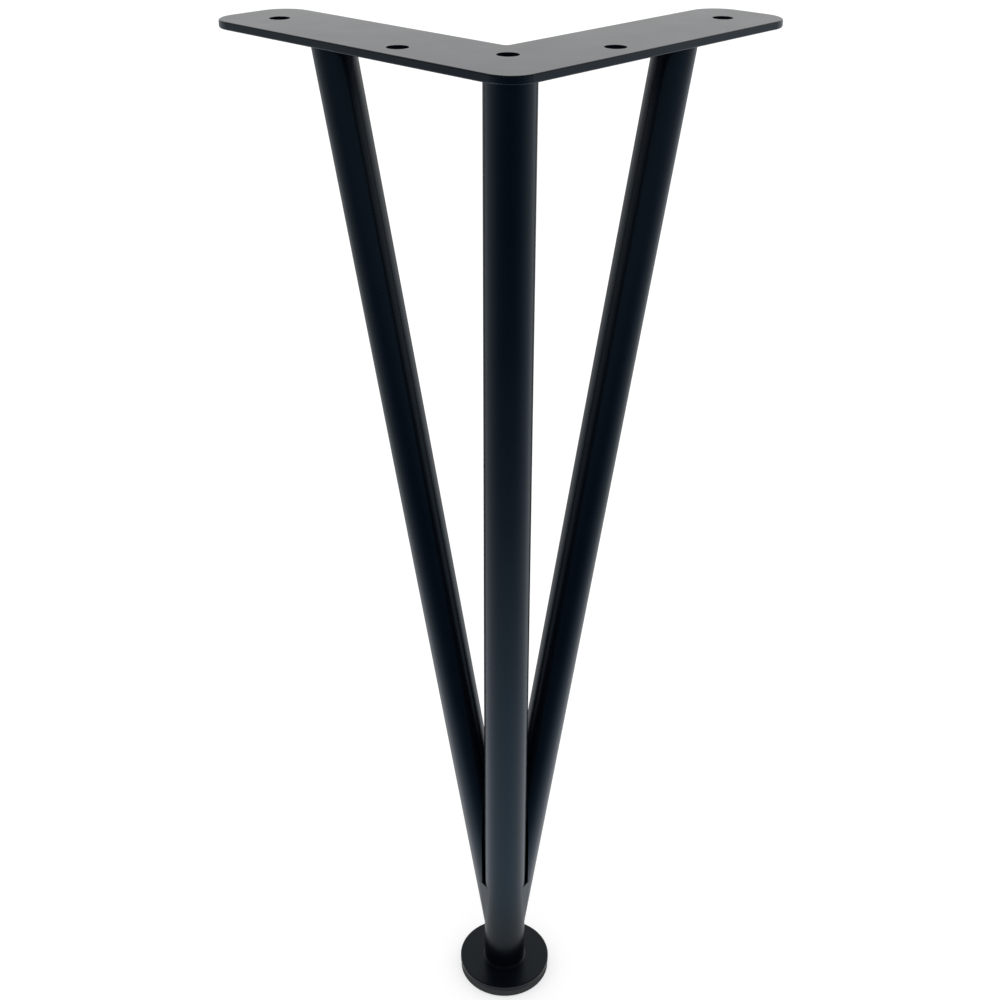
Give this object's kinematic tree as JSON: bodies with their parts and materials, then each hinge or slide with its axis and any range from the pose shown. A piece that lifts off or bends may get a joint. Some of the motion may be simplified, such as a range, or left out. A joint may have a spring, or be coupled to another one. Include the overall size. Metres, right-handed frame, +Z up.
{
  "type": "tripod table leg",
  "caption": "Black powder-coated steel tripod table leg: a right-angled screw plate on an upright tube, slanted brace tubes that meet it above a round flat foot.",
  "frame": {"origin": "on the floor, at the centre of the foot pad's underside, on the upright tube's axis", "axes": "+Z up along the upright tube to the plate; the plate's outer corner points to -Y and its arms run to +X +Y and -X +Y; the leg is mirrored about the plane X = 0"},
  "size_m": [0.2158, 0.1421, 0.4],
  "materials": {
    "black_powder_coat": "satin black powder coat with a very fine grain",
    "floor_pad": "matt dark grey"
  },
  "bodies": {
    "root": {"mounting_plate": "black_powder_coat", "front_tube": "black_powder_coat", "left_brace_tube": "black_powder_coat", "right_brace_tube": "black_powder_coat", "foot_disc": "black_powder_coat", "foot_pad": "floor_pad", "plate_welds": "black_powder_coat", "brace_seam_weld": "black_powder_coat", "cope_welds": "black_powder_coat", "foot_weld": "black_powder_coat"}
  },
  "joints": []
}
